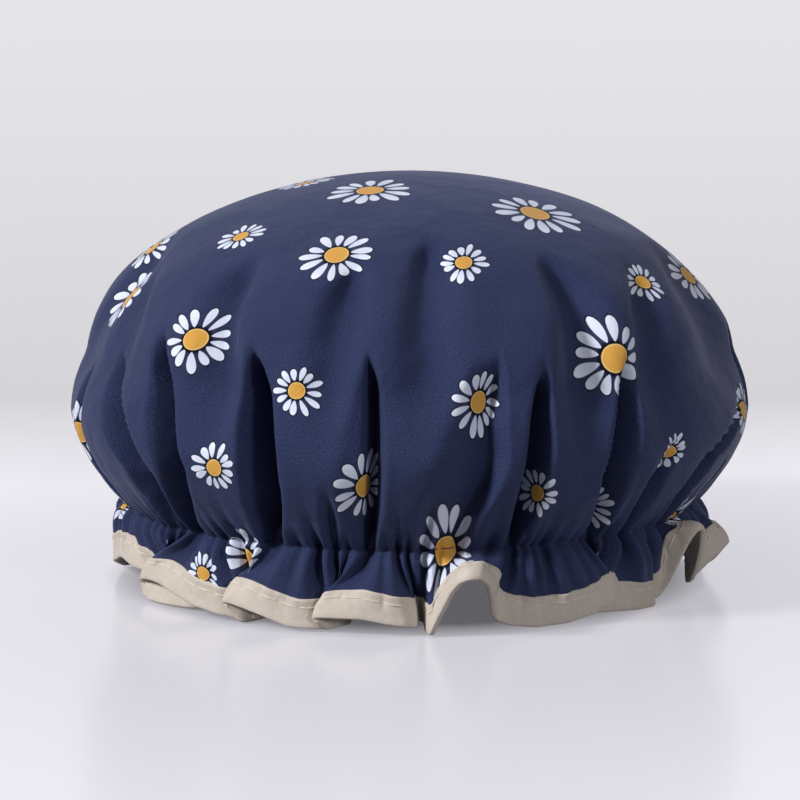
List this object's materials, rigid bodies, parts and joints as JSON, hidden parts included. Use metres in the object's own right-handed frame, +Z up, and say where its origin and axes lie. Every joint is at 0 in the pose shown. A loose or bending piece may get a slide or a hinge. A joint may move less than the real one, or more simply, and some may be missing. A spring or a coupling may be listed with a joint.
{
  "type": "shower cap",
  "caption": "Puffed, lined shower cap in printed navy cloth, gathered by an elastic into a neck, with a bound ruffle that it stands on.",
  "frame": {"origin": "on the table under the cap, in the middle of its footprint", "axes": "+Z up through the crown, -Y out of the side that the picture shows, +X to the picture's right"},
  "size_m": [0.2486, 0.248, 0.1491],
  "materials": {
    "printed_cloth": "fine plain weave, navy with scattered white daisies",
    "lining_film": "milky translucent film",
    "binding_tape": "ecru cotton bias tape",
    "elastic": "white braided elastic",
    "navy_thread": "navy sewing thread",
    "cream_thread": "cream sewing thread"
  },
  "bodies": {
    "root": {"outer_shell": "printed_cloth", "waterproof_lining": "lining_film", "elastic_band": "elastic", "elastic_lap_tack": "navy_thread", "gather_needle_thread": "navy_thread", "gather_bobbin_thread": "navy_thread", "edge_binding": "binding_tape", "binding_needle_thread": "cream_thread", "binding_bobbin_thread": "cream_thread"}
  },
  "joints": []
}
